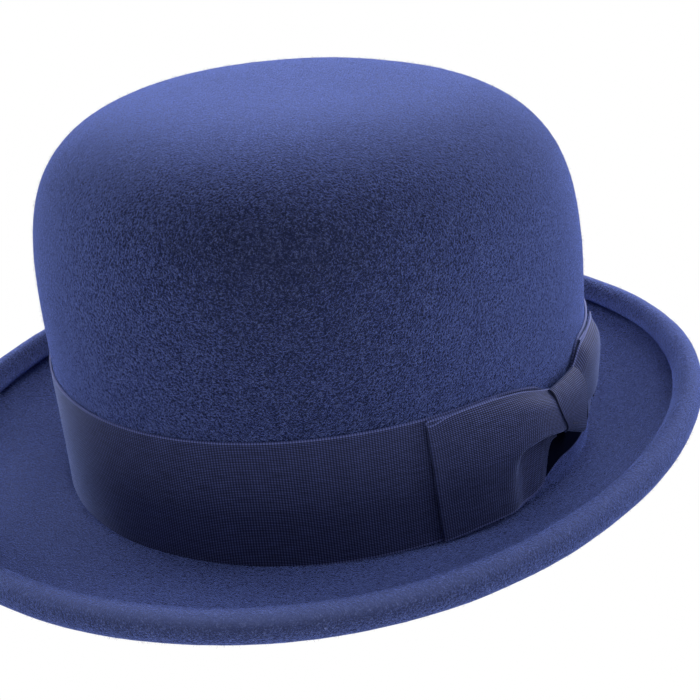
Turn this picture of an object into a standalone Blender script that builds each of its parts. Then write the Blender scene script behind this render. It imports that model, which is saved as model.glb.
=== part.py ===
"""A navy felt bowler hat with a grosgrain band, a flat pleated bow, a sweatband and a satin lining.

Metres, +Z up. The front of the hat faces -Y and the bow is on the wearer's left, +X. The origin is
the centre of the head opening, level with the line where the brim leaves the crown.
"""

from math import cos, pi, radians, sin

import bmesh
import bpy
from mathutils import Vector

# Crown: an egg-shaped plan, a straight wall and a domed top.
CROWN_HALF_LENGTH = 0.0995
CROWN_HALF_WIDTH = 0.0907
CROWN_EGG = 0.04            # how much wider the back of the plan is than its middle
CROWN_LEAN = 0.095          # forward shift for each metre of height
CROWN_WALL_HEIGHT = 0.042
CROWN_HEIGHT = 0.1312
CROWN_SHOULDER = 4.08       # power of the dome's rounding: 2 would be an ellipse
FELT = 0.0022

# Brim: an ellipse set a little forward, rising to a curled edge.
BRIM_HALF_LENGTH = 0.1552
BRIM_HALF_WIDTH = 0.1314
BRIM_FORWARD = 0.0054
BRIM_RISE = 0.0112
BRIM_RISE_BACK = 0.0030
BRIM_RISE_SIDES = 0.0011
BRIM_RISE_CORNERS = 0.0020
BRIM_DISH = 1.6             # power of the brim's upward curve
BREAK_RADIUS = 0.0010
BRIM_INNER_REACH = 0.06     # where the brim's face starts outside the break, as a share of its width
BRIM_OUTER_REACH = 0.88
CURL_HALF_WIDTH = 0.0027    # inner face of the curl
CURL_HALF_HEIGHT = 0.0032
CURL_END = radians(205)

# Ribbons.
CLEARANCE = 0.0003
RIBBON = 0.0006
BAND_LOW = 0.0012
BAND_HIGH = 0.0466
BAND_JOIN = radians(7.5)

# Bow: angles round the crown, with +X at 0 and the front at -90 degrees.
BOW_CENTRE = radians(6.0)
KNOT_HALF_ANGLE = radians(4.2)
FRONT_WING_END = radians(-25.0)
REAR_WING_END = radians(31.0)
WING_LOW = 0.0016
WING_HIGH = 0.0472
WAIST_LOW = 0.0240
WAIST_HIGH = 0.0435
BACK_PINCH = 0.5            # share of the waist's gathering that the layer next to the crown takes
WING_OFFSET = 0.0038        # from the felt to the middle of that layer
WING_LIFT = 0.0018          # from that layer to the outer one
WING_BELLY = 0.0025
KNOT_LIFT = 0.0008          # extra lift of that outer layer where it enters the knot
KNOT_MARGIN = radians(0.8)
KNOT_CROWN = 0.0008
FOLD_TURN = radians(0.5)
BASE_HALF_ANGLE = radians(14.0)
BASE_LOW = 0.0060
BASE_HIGH = 0.0430

# Inside the crown: depths are measured inwards from the felt's outer face.
SWEATBAND = 0.0008
SWEATBAND_DEPTH = 0.0033
SWEATBAND_LOW = 0.0002
SWEATBAND_HIGH = 0.0330
REED_RADIUS = 0.0008
REED_HEIGHT = -0.0013
TAPE = 0.0003
TAPE_HIGH = 0.0080
TAPE_HIGH_OUTSIDE = 0.0030
LINING = 0.0003
LINING_DEPTH = 0.0027
PIPING_RADIUS = 0.0008
TIE_HEIGHT = 0.0100
TIE_HALF_LENGTH = 0.0110
TIE_HALF_WIDTH = 0.0035
TIE_WAIST = 0.45
TIE_KNOT = 0.0023
LABEL_ANGLES = (pi / 2 + 0.13, pi / 2 + 0.35)
LABEL_HEIGHTS = (SWEATBAND_HIGH + 0.0008, SWEATBAND_HIGH + 0.0140)
LABEL_TILT = 0.0016

SEGMENTS = 48
ANGLES = [2 * pi * i / SEGMENTS for i in range(SEGMENTS)]
# Stations run up the crown: 0 is its foot, 1 the wall's top and 2 the pole.
WALL_STATIONS = [0.30, 0.65, 1.0]
SIDE_STATIONS = [1.10, 1.20, 1.30, 1.40, 1.50]
TIP_STATIONS = [1.60, 1.70, 1.79, 1.88]

NAVY_FELT = (0.020, 0.029, 0.110)
NAVY_RIBBON = (0.012, 0.016, 0.042)
NAVY_SWEATBAND = (0.014, 0.017, 0.040)
NAVY_SATIN = (0.018, 0.024, 0.075)
REED_WHITE = (0.62, 0.62, 0.58)
LABEL_CREAM = (0.70, 0.67, 0.58)


def clear_scene():
    for item in list(bpy.data.objects):
        bpy.data.objects.remove(item, do_unlink=True)


def material(name, colour, roughness, metallic=0.0):
    result = bpy.data.materials.new(name)
    result.use_nodes = True
    shader = result.node_tree.nodes["Principled BSDF"]
    shader.inputs["Base Color"].default_value = (*colour, 1.0)
    shader.inputs["Roughness"].default_value = roughness
    shader.inputs["Metallic"].default_value = metallic
    return result


# ---------------------------------------------------------------- shapes of the hat

def crown_plan(angle):
    """Point on the egg-shaped plan of the crown's outer face."""
    return Vector((CROWN_HALF_WIDTH * cos(angle) * (1 + CROWN_EGG * sin(angle)),
                   CROWN_HALF_LENGTH * sin(angle), 0.0))


def plan_normal(angle):
    """Outward horizontal direction of the crown's plan."""
    step = 0.001
    tangent = crown_plan(angle + step) - crown_plan(angle - step)
    return Vector((tangent.y, -tangent.x, 0.0)).normalized()


def dome(station):
    """Scale of the plan and height at a station: 0 the foot, 1 the wall's top, 2 the pole."""
    if station <= 1.0:
        return 1.0, CROWN_WALL_HEIGHT * station
    turn = (station - 1.0) * pi / 2
    reach = (cos(turn) ** CROWN_SHOULDER + sin(turn) ** CROWN_SHOULDER) ** (-1 / CROWN_SHOULDER)
    return reach * cos(turn), CROWN_WALL_HEIGHT + (CROWN_HEIGHT - CROWN_WALL_HEIGHT) * reach * sin(turn)


def crown_face(angle, station):
    """Point on the crown's outer face."""
    scale, height = dome(station)
    return crown_plan(angle) * scale + Vector((0.0, -CROWN_LEAN * height, height))


def crown_inside(angle, station, depth):
    """Point at a depth inside the crown's outer face, measured square to the face."""
    step = 0.004
    along = crown_face(angle + step, station) - crown_face(angle - step, station)
    up = crown_face(angle, min(station + step, 2.0)) - crown_face(angle, station - step)
    return crown_face(angle, station) - along.cross(up).normalized() * depth


def crown_pole(depth):
    return Vector((0.0, -CROWN_LEAN * CROWN_HEIGHT, CROWN_HEIGHT - depth))


def wall_point(angle, height, offset):
    """Point beside the crown's wall, at an offset outwards from its outer face."""
    return (crown_plan(angle) + plan_normal(angle) * offset
            + Vector((0.0, -CROWN_LEAN * height, height)))


def brim_rise(angle):
    """Height of the brim's upper face where it meets the curl."""
    return (BRIM_RISE + BRIM_RISE_BACK * sin(angle) + BRIM_RISE_SIDES * cos(2 * angle)
            + BRIM_RISE_CORNERS * sin(3 * angle))


def brim_edge(angle):
    """Centre of the curl at the brim's edge, and the direction pointing out of the brim there."""
    inset = CURL_HALF_WIDTH + FELT
    centre = Vector(((BRIM_HALF_WIDTH - inset) * cos(angle),
                     (BRIM_HALF_LENGTH - inset) * sin(angle) - BRIM_FORWARD,
                     brim_rise(angle) + CURL_HALF_HEIGHT))
    outwards = Vector((BRIM_HALF_LENGTH * cos(angle), BRIM_HALF_WIDTH * sin(angle), 0.0)).normalized()
    return centre, outwards


def brim_face(angle, reach):
    """Point on the brim's upper face: reach 0 is the break, 1 is the foot of the curl."""
    start = crown_plan(angle) + plan_normal(angle) * BREAK_RADIUS
    end, _ = brim_edge(angle)
    point = start.lerp(end, reach)
    point.z = brim_rise(angle) * reach ** BRIM_DISH
    return point


def break_face(angle, turn):
    """Point on the small fillet between the crown's wall and the brim."""
    centre = crown_plan(angle) + plan_normal(angle) * BREAK_RADIUS + Vector((0.0, 0.0, BREAK_RADIUS))
    return centre - (plan_normal(angle) * cos(turn) + Vector((0.0, 0.0, sin(turn)))) * BREAK_RADIUS


def curl_face(angle, turn):
    """Point on the inner face of the curl: turn -90 degrees is its foot, 90 its top."""
    centre, outwards = brim_edge(angle)
    rise = Vector((0.0, 0.0, CURL_HALF_HEIGHT * sin(turn)))
    return centre + outwards * CURL_HALF_WIDTH * cos(turn) + rise


# ---------------------------------------------------------------- modelling helpers

def add_object(name, mesh_or_curve, finish, collection):
    item = bpy.data.objects.new(name, mesh_or_curve)
    item.data.materials.append(finish)
    collection.objects.link(item)
    item.parent = bpy.data.objects["bowler_hat"]
    return item


def sheet_mesh(name, rows, wraps=False, pole=None):
    """Mesh of a grid of points, given row by row. It may wrap round and may close on a pole."""
    shape = bmesh.new()
    grid = [[shape.verts.new(point) for point in row] for row in rows]
    count = len(rows[0])
    columns = range(count if wraps else count - 1)
    for low, high in zip(grid, grid[1:]):
        for i in columns:
            j = (i + 1) % count
            shape.faces.new((low[i], low[j], high[j], high[i]))
    if pole is not None:
        tip = shape.verts.new(pole)
        for i in columns:
            shape.faces.new((grid[-1][i], grid[-1][(i + 1) % count], tip))
    mesh = bpy.data.meshes.new(name)
    shape.to_mesh(mesh)
    shape.free()
    mesh.shade_smooth()
    mesh.set_sharp_from_angle(angle=radians(40))
    return mesh


def solidify(item, thickness, offset):
    """Thicken a sheet. Offset 1 grows along its normals and -1 against them."""
    shell = item.modifiers.new("thickness", "SOLIDIFY")
    shell.thickness = thickness
    shell.offset = offset
    shell.use_even_offset = True
    return item


def closed_cord(name, points, radius, finish, collection):
    """Round cord that closes on itself."""
    curve = bpy.data.curves.new(name, "CURVE")
    curve.dimensions = "3D"
    curve.bevel_depth = radius
    curve.bevel_resolution = 2
    spline = curve.splines.new("POLY")
    spline.points.add(len(points) - 1)
    for knot, point in zip(spline.points, points):
        knot.co = (*point, 1.0)
    spline.use_cyclic_u = True
    return add_object(name, curve, finish, collection)


def steps(start, end, count):
    """Evenly spaced values from start to end, both included."""
    return [start + (end - start) * i / (count - 1) for i in range(count)]


# ---------------------------------------------------------------- felt

def make_felt_body(finish, collection):
    """Crown, brim and curled edge: one piece of blocked felt."""
    rows = [[curl_face(a, turn) for a in ANGLES] for turn in steps(CURL_END, -pi / 2, 10)]
    reaches = steps(BRIM_OUTER_REACH, BRIM_INNER_REACH, 5)
    rows += [[brim_face(a, reach) for a in ANGLES] for reach in reaches]
    rows += [[break_face(a, turn) for a in ANGLES] for turn in steps(pi / 2, 0.0, 3)]
    stations = WALL_STATIONS + SIDE_STATIONS + TIP_STATIONS
    rows += [[crown_face(a, station) for a in ANGLES] for station in stations]
    mesh = sheet_mesh("felt_body", rows, wraps=True, pole=crown_pole(0.0))
    return solidify(add_object("felt_body", mesh, finish, collection), FELT, -1)


# ---------------------------------------------------------------- hatband and bow

def make_hatband(finish, collection):
    """Ribbon round the foot of the crown, with its ends butted under the bow."""
    gap = radians(0.3)
    angles = [BAND_JOIN + gap] + [BAND_JOIN + a for a in ANGLES[1:]] + [BAND_JOIN + 2 * pi - gap]
    heights = steps(BAND_LOW, BAND_HIGH, 3)
    rows = [[wall_point(a, height, CLEARANCE) for a in angles] for height in heights]
    mesh = sheet_mesh("hatband", rows)
    return solidify(add_object("hatband", mesh, finish, collection), RIBBON, 1)


def make_bow_base(finish, collection):
    """Short flat ribbon over the hatband's join, which carries the bow."""
    offset = 2 * CLEARANCE + RIBBON
    angles = steps(BOW_CENTRE - BASE_HALF_ANGLE, BOW_CENTRE + BASE_HALF_ANGLE, 9)
    rows = [[wall_point(a, height, offset) for a in angles] for height in steps(BASE_LOW, BASE_HIGH, 3)]
    mesh = sheet_mesh("bow_base", rows)
    return solidify(add_object("bow_base", mesh, finish, collection), RIBBON, 1)


def wing_limits(pinch):
    """Lowest and highest points of a wing: pinch 0 is its full width and 1 its waist in the knot."""
    return (WING_LOW + (WAIST_LOW - WING_LOW) * pinch, WING_HIGH + (WAIST_HIGH - WING_HIGH) * pinch)


def wing_path(start, end):
    """Angle, offset, pinch and belly along a folded loop: out, round the fold and back."""
    side = 1.0 if end > start else -1.0
    edge = BOW_CENTRE + side * (KNOT_HALF_ANGLE + KNOT_MARGIN)
    shares = [0.0] + steps(0.0, 1.0, 5)
    angles = [start] + steps(edge, end, 5)
    outer = WING_OFFSET + WING_LIFT
    path = []
    for angle, share in zip(angles, shares):
        path.append((angle, WING_OFFSET, BACK_PINCH * (1 - share) ** 2, 0.0))
    path.append((end + side * FOLD_TURN, (WING_OFFSET + outer) / 2, 0.0, 0.0))
    for angle, share in zip(reversed(angles), reversed(shares)):
        lift = outer + KNOT_LIFT * (1 - share)
        path.append((angle, lift, (1 - share) ** 2, WING_BELLY * sin(pi * share)))
    return path


def wing_rows(start, end):
    rows = []
    for across in steps(0.0, 1.0, 5):
        row = []
        for angle, offset, pinch, belly in wing_path(start, end):
            low, high = wing_limits(pinch)
            row.append(wall_point(angle, low + (high - low) * across, offset + belly * sin(pi * across)))
        rows.append(row)
    return rows


def make_wing(name, start, end, finish, collection):
    mesh = sheet_mesh(name, wing_rows(start, end))
    return solidify(add_object(name, mesh, finish, collection), RIBBON, 0)


def make_knot(finish, collection):
    """Ribbon wrapped round the waist of the bow, over both wings."""
    back = WING_OFFSET - RIBBON - CLEARANCE
    front = WING_OFFSET + WING_LIFT + KNOT_LIFT + RIBBON + 2 * CLEARANCE
    spare = RIBBON + CLEARANCE
    back_low, back_high = wing_limits(BACK_PINCH)
    low, high = WAIST_LOW - spare, WAIST_HIGH + spare
    section = [(back_low - spare, back), (back_high + spare, back),
               (back_high + spare, WING_OFFSET + spare), (high, front),
               ((low + high) / 2, front + KNOT_CROWN), (low, front),
               (back_low - spare, WING_OFFSET + spare)]
    edges = (BOW_CENTRE - KNOT_HALF_ANGLE, BOW_CENTRE + KNOT_HALF_ANGLE)
    rows = [[wall_point(edge, height, offset) for height, offset in section] for edge in edges]
    mesh = sheet_mesh("bow_knot", rows, wraps=True)
    return solidify(add_object("bow_knot", mesh, finish, collection), RIBBON, 0)


# ---------------------------------------------------------------- inside the crown

def inner_strip(name, depth, thickness, sections, finish, collection):
    """Strip inside the crown with its ends meeting at the back."""
    gap = radians(0.4)
    back = pi / 2
    angles = [back + gap] + [back + a for a in ANGLES[1:]] + [back + 2 * pi - gap]
    rows = [[wall_point(a, height, -depth - drop) for a in angles] for height, drop in sections]
    mesh = sheet_mesh(name, rows)
    return solidify(add_object(name, mesh, finish, collection), thickness, -1)


def make_sweatband(finish, collection):
    sections = [(height, 0.0) for height in steps(SWEATBAND_LOW, SWEATBAND_HIGH, 4)]
    return inner_strip("sweatband", SWEATBAND_DEPTH, SWEATBAND, sections, finish, collection)


def make_reed(finish, collection):
    """Plastic cord that stiffens the sweatband's lower edge."""
    middle = -SWEATBAND_DEPTH - SWEATBAND / 2
    points = [wall_point(a, REED_HEIGHT, middle) for a in ANGLES]
    return closed_cord("sweatband_reed", points, REED_RADIUS, finish, collection)


def make_reed_tape(finish, collection):
    """Tape folded round the reed and up both faces of the sweatband."""
    half = SWEATBAND / 2 + CLEARANCE
    wrap = REED_RADIUS + CLEARANCE
    bend = [(REED_HEIGHT - wrap * sin(turn), -wrap * cos(turn)) for turn in steps(0.0, pi, 6)]
    section = [(TAPE_HIGH, -half), (0.0, -half)] + bend + [(0.0, half), (TAPE_HIGH_OUTSIDE, half)]
    middle = SWEATBAND_DEPTH + SWEATBAND / 2
    rows = [[wall_point(a, height, -middle - inset) for a in ANGLES] for height, inset in section]
    mesh = sheet_mesh("reed_tape", rows, wraps=True)
    return solidify(add_object("reed_tape", mesh, finish, collection), TAPE, -1)


def tie_point(across, height, lift):
    """Point on the back of the sweatband: across to the wearer's left, lift towards the head."""
    angle = pi / 2 - across / CROWN_HALF_WIDTH
    return wall_point(angle, height, -(SWEATBAND_DEPTH + SWEATBAND + CLEARANCE + lift))


def make_sweatband_tie(finish, collection):
    """Small ribbon bow sewn over the sweatband's join: two loops drawn in at the middle."""
    rows = []
    for side in (-1, 1):
        row = []
        for k in steps(-1.0, 1.0, 13):
            half_width = TIE_HALF_WIDTH * (TIE_WAIST + (1 - TIE_WAIST) * abs(k) ** 1.5)
            row.append(tie_point(TIE_HALF_LENGTH * k, TIE_HEIGHT + side * half_width, CLEARANCE))
        rows.append(row)
    loops = sheet_mesh("tie_loops", rows)
    solidify(add_object("tie_loops", loops, finish, collection), RIBBON, 1)
    lift = 2 * CLEARANCE + RIBBON
    section = [(-TIE_KNOT, lift), (0.0, lift + CLEARANCE / 2), (TIE_KNOT, lift)]
    rows = [[tie_point(across, TIE_HEIGHT + side * TIE_KNOT, lift) for across, lift in section]
            for side in (-1, 1)]
    knot = sheet_mesh("tie_knot", rows)
    solidify(add_object("tie_knot", knot, finish, collection), RIBBON, 1)


def lining_row(station, depth=LINING_DEPTH):
    return [crown_inside(a, station, depth) for a in ANGLES]


def between(low, high, share):
    """Row that lies part of the way from one row to the next."""
    return [start.lerp(end, share) for start, end in zip(low, high)]


def make_lining(finish, collection):
    """Satin side wall and oval tip, with a narrow gap at the seam between them."""
    below, above = lining_row(SIDE_STATIONS[-1]), lining_row(TIP_STATIONS[0])
    rows = [lining_row(station) for station in WALL_STATIONS + SIDE_STATIONS]
    side = sheet_mesh("lining_side", rows + [between(below, above, 0.47)], wraps=True)
    solidify(add_object("lining_side", side, finish, collection), LINING, -1)
    rows = [between(below, above, 0.53)] + [lining_row(station) for station in TIP_STATIONS]
    tip = sheet_mesh("lining_tip", rows, wraps=True, pole=crown_pole(LINING_DEPTH))
    solidify(add_object("lining_tip", tip, finish, collection), LINING, -1)


def make_piping(finish, collection):
    """Cord that covers the seam between the lining's side and its tip."""
    depth = LINING_DEPTH + LINING + CLEARANCE + PIPING_RADIUS
    points = between(lining_row(SIDE_STATIONS[-1], depth), lining_row(TIP_STATIONS[0], depth), 0.5)
    return closed_cord("lining_piping", points, PIPING_RADIUS, finish, collection)


def make_size_label(finish, collection):
    """Blank label that stands up from behind the sweatband at the back."""
    angles = steps(*LABEL_ANGLES, 4)
    depth = LINING_DEPTH + LINING + 1.5 * CLEARANCE
    rows = [[wall_point(a, height, -depth - tilt) for a in angles]
            for height, tilt in zip(LABEL_HEIGHTS, (0.0, LABEL_TILT))]
    mesh = sheet_mesh("size_label", rows)
    return solidify(add_object("size_label", mesh, finish, collection), TAPE, -1)


def main():
    clear_scene()
    collection = bpy.data.collections.new("bowler_hat")
    bpy.context.scene.collection.children.link(collection)
    hat = bpy.data.objects.new("bowler_hat", None)
    collection.objects.link(hat)

    felt = material("navy_wool_felt", NAVY_FELT, 0.95)
    ribbon = material("navy_grosgrain", NAVY_RIBBON, 0.75)
    band = material("sweatband_cloth", NAVY_SWEATBAND, 0.60)
    satin = material("navy_satin", NAVY_SATIN, 0.35)

    make_felt_body(felt, collection)
    make_hatband(ribbon, collection)
    make_bow_base(ribbon, collection)
    make_wing("bow_front_wing", BOW_CENTRE - radians(0.4), FRONT_WING_END, ribbon, collection)
    make_wing("bow_rear_wing", BOW_CENTRE + radians(0.4), REAR_WING_END, ribbon, collection)
    make_knot(ribbon, collection)
    make_sweatband(band, collection)
    make_reed(material("reed_plastic", REED_WHITE, 0.4), collection)
    make_reed_tape(ribbon, collection)
    make_sweatband_tie(ribbon, collection)
    make_lining(satin, collection)
    make_piping(satin, collection)
    make_size_label(material("label_cloth", LABEL_CREAM, 0.8), collection)


main()
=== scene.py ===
"""Looks of the navy felt bowler hat: napped felt, grosgrain band and bow, sweatband and satin lining."""

from math import cos, pi, radians, sin

import bpy
import numpy as np
from mathutils import Matrix, Vector


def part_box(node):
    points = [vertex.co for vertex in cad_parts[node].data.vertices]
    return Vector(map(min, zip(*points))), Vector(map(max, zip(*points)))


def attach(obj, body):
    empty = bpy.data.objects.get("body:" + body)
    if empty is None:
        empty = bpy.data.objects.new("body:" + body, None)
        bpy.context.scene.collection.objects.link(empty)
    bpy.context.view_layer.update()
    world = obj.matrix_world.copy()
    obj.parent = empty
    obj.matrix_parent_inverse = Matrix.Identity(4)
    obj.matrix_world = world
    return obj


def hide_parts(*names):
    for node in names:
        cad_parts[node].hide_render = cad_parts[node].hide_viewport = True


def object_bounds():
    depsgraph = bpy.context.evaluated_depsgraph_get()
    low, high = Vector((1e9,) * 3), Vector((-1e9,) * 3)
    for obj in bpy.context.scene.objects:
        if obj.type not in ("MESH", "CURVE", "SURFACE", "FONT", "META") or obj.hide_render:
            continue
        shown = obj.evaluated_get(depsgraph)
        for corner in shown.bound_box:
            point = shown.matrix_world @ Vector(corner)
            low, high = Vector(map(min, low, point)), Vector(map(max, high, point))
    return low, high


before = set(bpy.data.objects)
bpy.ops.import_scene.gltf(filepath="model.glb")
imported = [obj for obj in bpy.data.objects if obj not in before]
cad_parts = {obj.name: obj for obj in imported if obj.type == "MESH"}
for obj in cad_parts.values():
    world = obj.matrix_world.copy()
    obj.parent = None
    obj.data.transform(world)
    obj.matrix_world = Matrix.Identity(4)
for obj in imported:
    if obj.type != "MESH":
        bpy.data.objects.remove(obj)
CAD_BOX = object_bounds()

# ---- sizes, from the CAD parts in model.glb

FELT_LOW, FELT_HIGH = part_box("felt_body")
BAND_LOW, BAND_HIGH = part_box("hatband")
SWEAT_LOW, SWEAT_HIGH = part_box("sweatband")
_, TAPE_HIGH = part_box("reed_tape")
REED_LOW, REED_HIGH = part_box("sweatband_reed")
TIE_LOW, TIE_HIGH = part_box("tie_loops")
TIE_KNOT_LOW, TIE_KNOT_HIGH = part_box("tie_knot")
LABEL_LOW, LABEL_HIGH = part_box("size_label")

MM = 0.001
FELT = 2.2 * MM
RIBBON = 0.6 * MM
GAP = 0.3 * MM

# Crown: an egg-shaped plan on a wall that leans forward, under a dome.
CROWN_LEAN = -(BAND_LOW.y + BAND_HIGH.y) / (BAND_LOW.z + BAND_HIGH.z)
BAND_SHIFT = CROWN_LEAN * (BAND_HIGH.z - BAND_LOW.z)
CROWN_HALF_WIDTH = (BAND_HIGH.x - BAND_LOW.x) / 2 - RIBBON - GAP
CROWN_HALF_LENGTH = (BAND_HIGH.y - BAND_LOW.y - BAND_SHIFT) / 2 - RIBBON - GAP
CROWN_HEIGHT = FELT_HIGH.z
CROWN_WALL_HEIGHT = 0.32 * CROWN_HEIGHT
CROWN_EGG = 0.04
CROWN_SHOULDER = 4.08

# Brim: an ellipse set a little forward, dished up to a rolled edge.
BRIM_HALF_LENGTH = (FELT_HIGH.y - FELT_LOW.y) / 2
BRIM_HALF_WIDTH = (FELT_HIGH.x - FELT_LOW.x) / 2
BRIM_FORWARD = -(FELT_HIGH.y + FELT_LOW.y) / 2
BRIM_RISE = 11.2 * MM
BRIM_RISE_BACK = 3.0 * MM
BRIM_RISE_SIDES = 1.1 * MM
BRIM_RISE_CORNERS = 2.0 * MM
BRIM_DISH = 1.6
BREAK_RADIUS = 1.0 * MM
CURL_HALF_WIDTH = 2.7 * MM
CURL_HALF_HEIGHT = 3.2 * MM
CURL_END = 200.0
LIP_FLARE = 0.9 * MM
CURL_TURNS = np.radians(np.linspace(-90.0, CURL_END, 34))
BRIM_REACHES = np.linspace(0.06, 0.90, 22)
BREAK_TURNS = np.linspace(0.0, pi / 2, 4)
CROWN_STATIONS = np.linspace(1.985, 1.0, 56)
WALL_STATIONS = np.linspace(0.96, 0.05, 16)
CROWN_ROWS = len(CROWN_STATIONS) + len(WALL_STATIONS)

# Bow, in degrees round the crown from the wearer's left, and millimetres up from the break.
FRONT_END = -26.0
REAR_END = 34.0
KNOT_LEFT_TOP, KNOT_LEFT_FOOT = 2.8, 5.2
KNOT_RIGHT_TOP, KNOT_RIGHT_FOOT = 12.4, 11.0
WING_ROWS, FACE_ROWS = 110, 50
WING_SLANT = 1.8
BOW_RIBBON = 0.5 * MM
RIB_PITCH = 0.9 * MM
WEFT_PITCH = 0.6 * MM

SEGMENTS = 400          # round the felt
FELT_ANGLES = np.arange(SEGMENTS) * 2 * pi / SEGMENTS
CLOTH_SEGMENTS = 720    # round the tape and lining
LIP_ROWS = 5
THREAD_SIDES = 6


# ---- numbers and curves

def smooth(low, high, x):
    """0 below low, 1 above high, and an eased step between them."""
    t = np.clip((x - low) / (high - low), 0.0, 1.0)
    return t * t * (3.0 - 2.0 * t)


def curve_through(x, points):
    """Smooth curve through a few (x, y) points, level at both ends and beyond them."""
    xs, ys = np.array(points, float).T
    slopes = np.gradient(ys, xs)
    slopes[0] = slopes[-1] = 0.0
    x = np.clip(x, xs[0], xs[-1])
    i = np.clip(np.searchsorted(xs, x, side="right") - 1, 0, len(xs) - 2)
    width = xs[i + 1] - xs[i]
    t = (x - xs[i]) / width
    blend_in = t * t * (3.0 - 2.0 * t)
    bend = slopes[i] * t * (1 - t) ** 2 - slopes[i + 1] * t * t * (1 - t)
    return ys[i] * (1 - blend_in) + ys[i + 1] * blend_in + width * bend


def rounded_path(corners, radius, count):
    """Evenly spaced points along a line through corners, with each corner rounded."""
    corners = np.array(corners, float)
    path = [corners[0]]
    for before, corner, after in zip(corners, corners[1:], corners[2:]):
        back, on = before - corner, after - corner
        start = corner + back * min(0.5, radius / max(np.linalg.norm(back), 1e-9))
        stop = corner + on * min(0.5, radius / max(np.linalg.norm(on), 1e-9))
        for t in np.linspace(0.0, 1.0, 8):
            path.append((1 - t) ** 2 * start + 2 * t * (1 - t) * corner + t * t * stop)
    path.append(corners[-1])
    path = np.array(path)
    reached = arc_length(path)
    even = np.linspace(0.0, reached[-1], count)
    return np.stack([np.interp(even, reached, path[:, k]) for k in range(path.shape[1])], axis=-1)


def arc_length(points):
    """Running length along a row of points."""
    hops = np.linalg.norm(np.diff(points, axis=0), axis=-1)
    return np.concatenate([[0.0], np.cumsum(hops)])


def stack(x, y, z):
    x, y, z = np.broadcast_arrays(x, y, z)
    return np.stack([x, y, z], axis=-1)


def middle_row(grid):
    return grid[len(grid) // 2]


def cloth_uv(along, across):
    """UV of a cloth grid in metres, from its running length and its distance across."""
    return stack(along[None, :], across[:, None], 0.0)[..., :2]


# ---- shapes of the hat

def crown_plan(angle):
    return stack(CROWN_HALF_WIDTH * np.cos(angle) * (1 + CROWN_EGG * np.sin(angle)),
                 CROWN_HALF_LENGTH * np.sin(angle), 0.0)


def plan_normal(angle):
    step = 0.001
    tangent = crown_plan(angle + step) - crown_plan(angle - step)
    outwards = stack(tangent[..., 1], -tangent[..., 0], 0.0)
    return outwards / np.linalg.norm(outwards, axis=-1, keepdims=True)


def dome(station):
    """Scale of the plan and height at a station: 0 the foot, 1 the wall's top, 2 the pole."""
    turn = np.clip(station - 1.0, 0.0, 1.0) * pi / 2
    reach = (np.cos(turn) ** CROWN_SHOULDER + np.sin(turn) ** CROWN_SHOULDER) ** (-1 / CROWN_SHOULDER)
    rise = (CROWN_HEIGHT - CROWN_WALL_HEIGHT) * reach * np.sin(turn)
    return reach * np.cos(turn), CROWN_WALL_HEIGHT * np.clip(station, 0.0, 1.0) + rise


def crown_face(angle, station):
    scale, height = dome(station)
    return crown_plan(angle) * np.expand_dims(scale, -1) + stack(0.0, -CROWN_LEAN * height, height)


def wall_point(angle, height, offset):
    """Point beside the crown's wall, at an offset outwards from its outer face."""
    lift = stack(0.0, -CROWN_LEAN * np.asarray(height), height)
    return crown_plan(angle) + plan_normal(angle) * np.expand_dims(offset, -1) + lift


def brim_rise(angle):
    return (BRIM_RISE + BRIM_RISE_BACK * np.sin(angle) + BRIM_RISE_SIDES * np.cos(2 * angle)
            + BRIM_RISE_CORNERS * np.sin(3 * angle))


def brim_edge(angle):
    """Centre of the curl at the brim's edge, and the direction pointing out of the brim there."""
    inset = CURL_HALF_WIDTH + FELT
    centre = stack((BRIM_HALF_WIDTH - inset) * np.cos(angle),
                   (BRIM_HALF_LENGTH - inset) * np.sin(angle) - BRIM_FORWARD,
                   brim_rise(angle) + CURL_HALF_HEIGHT)
    outwards = stack(BRIM_HALF_LENGTH * np.cos(angle), BRIM_HALF_WIDTH * np.sin(angle), 0.0)
    return centre, outwards / np.linalg.norm(outwards, axis=-1, keepdims=True)


def brim_face(angle, reach):
    start = crown_plan(angle) + plan_normal(angle) * BREAK_RADIUS
    end, _ = brim_edge(angle)
    point = start + (end - start) * np.expand_dims(reach, -1)
    point[..., 2] = brim_rise(angle) * reach ** BRIM_DISH
    return point


def break_face(angle, turn):
    centre = crown_plan(angle) + plan_normal(angle) * BREAK_RADIUS + stack(0.0, 0.0, BREAK_RADIUS)
    swing = plan_normal(angle) * np.expand_dims(np.cos(turn), -1) + stack(0.0, 0.0, np.sin(turn))
    return centre - swing * BREAK_RADIUS


def curl_face(angle, turn):
    """Point on the inner face of the curl, from its foot at -90 degrees up, over and down to its lip."""
    centre, outwards = brim_edge(angle)
    flare = LIP_FLARE * smooth(radians(150), radians(CURL_END), turn)
    across = CURL_HALF_WIDTH * np.cos(turn) - flare
    return centre + outwards * np.expand_dims(across, -1) + stack(0.0, 0.0, CURL_HALF_HEIGHT * np.sin(turn))


# ---- meshes

def mesh_from(name, points, faces, uv=None, smooth_angle=50):
    """New object from numpy points and faces, with one UV for each point if given."""
    mesh = bpy.data.meshes.new(name)
    mesh.from_pydata(points.tolist(), [], faces)
    if uv is not None:
        layer = mesh.uv_layers.new(name="cloth")
        corners = np.zeros(len(mesh.loops), np.int32)
        mesh.loops.foreach_get("vertex_index", corners)
        layer.data.foreach_set("uv", uv[corners].astype(np.float32).ravel())
    mesh.shade_smooth()
    mesh.set_sharp_from_angle(angle=radians(smooth_angle))
    item = bpy.data.objects.new(name, mesh)
    bpy.context.scene.collection.objects.link(item)
    return item


def grid_faces(rows, columns, wraps):
    faces = []
    for r in range(rows - 1):
        for c in range(columns if wraps else columns - 1):
            d = (c + 1) % columns
            low, high = r * columns, (r + 1) * columns
            faces.append((low + c, low + d, high + d, high + c))
    return faces


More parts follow.
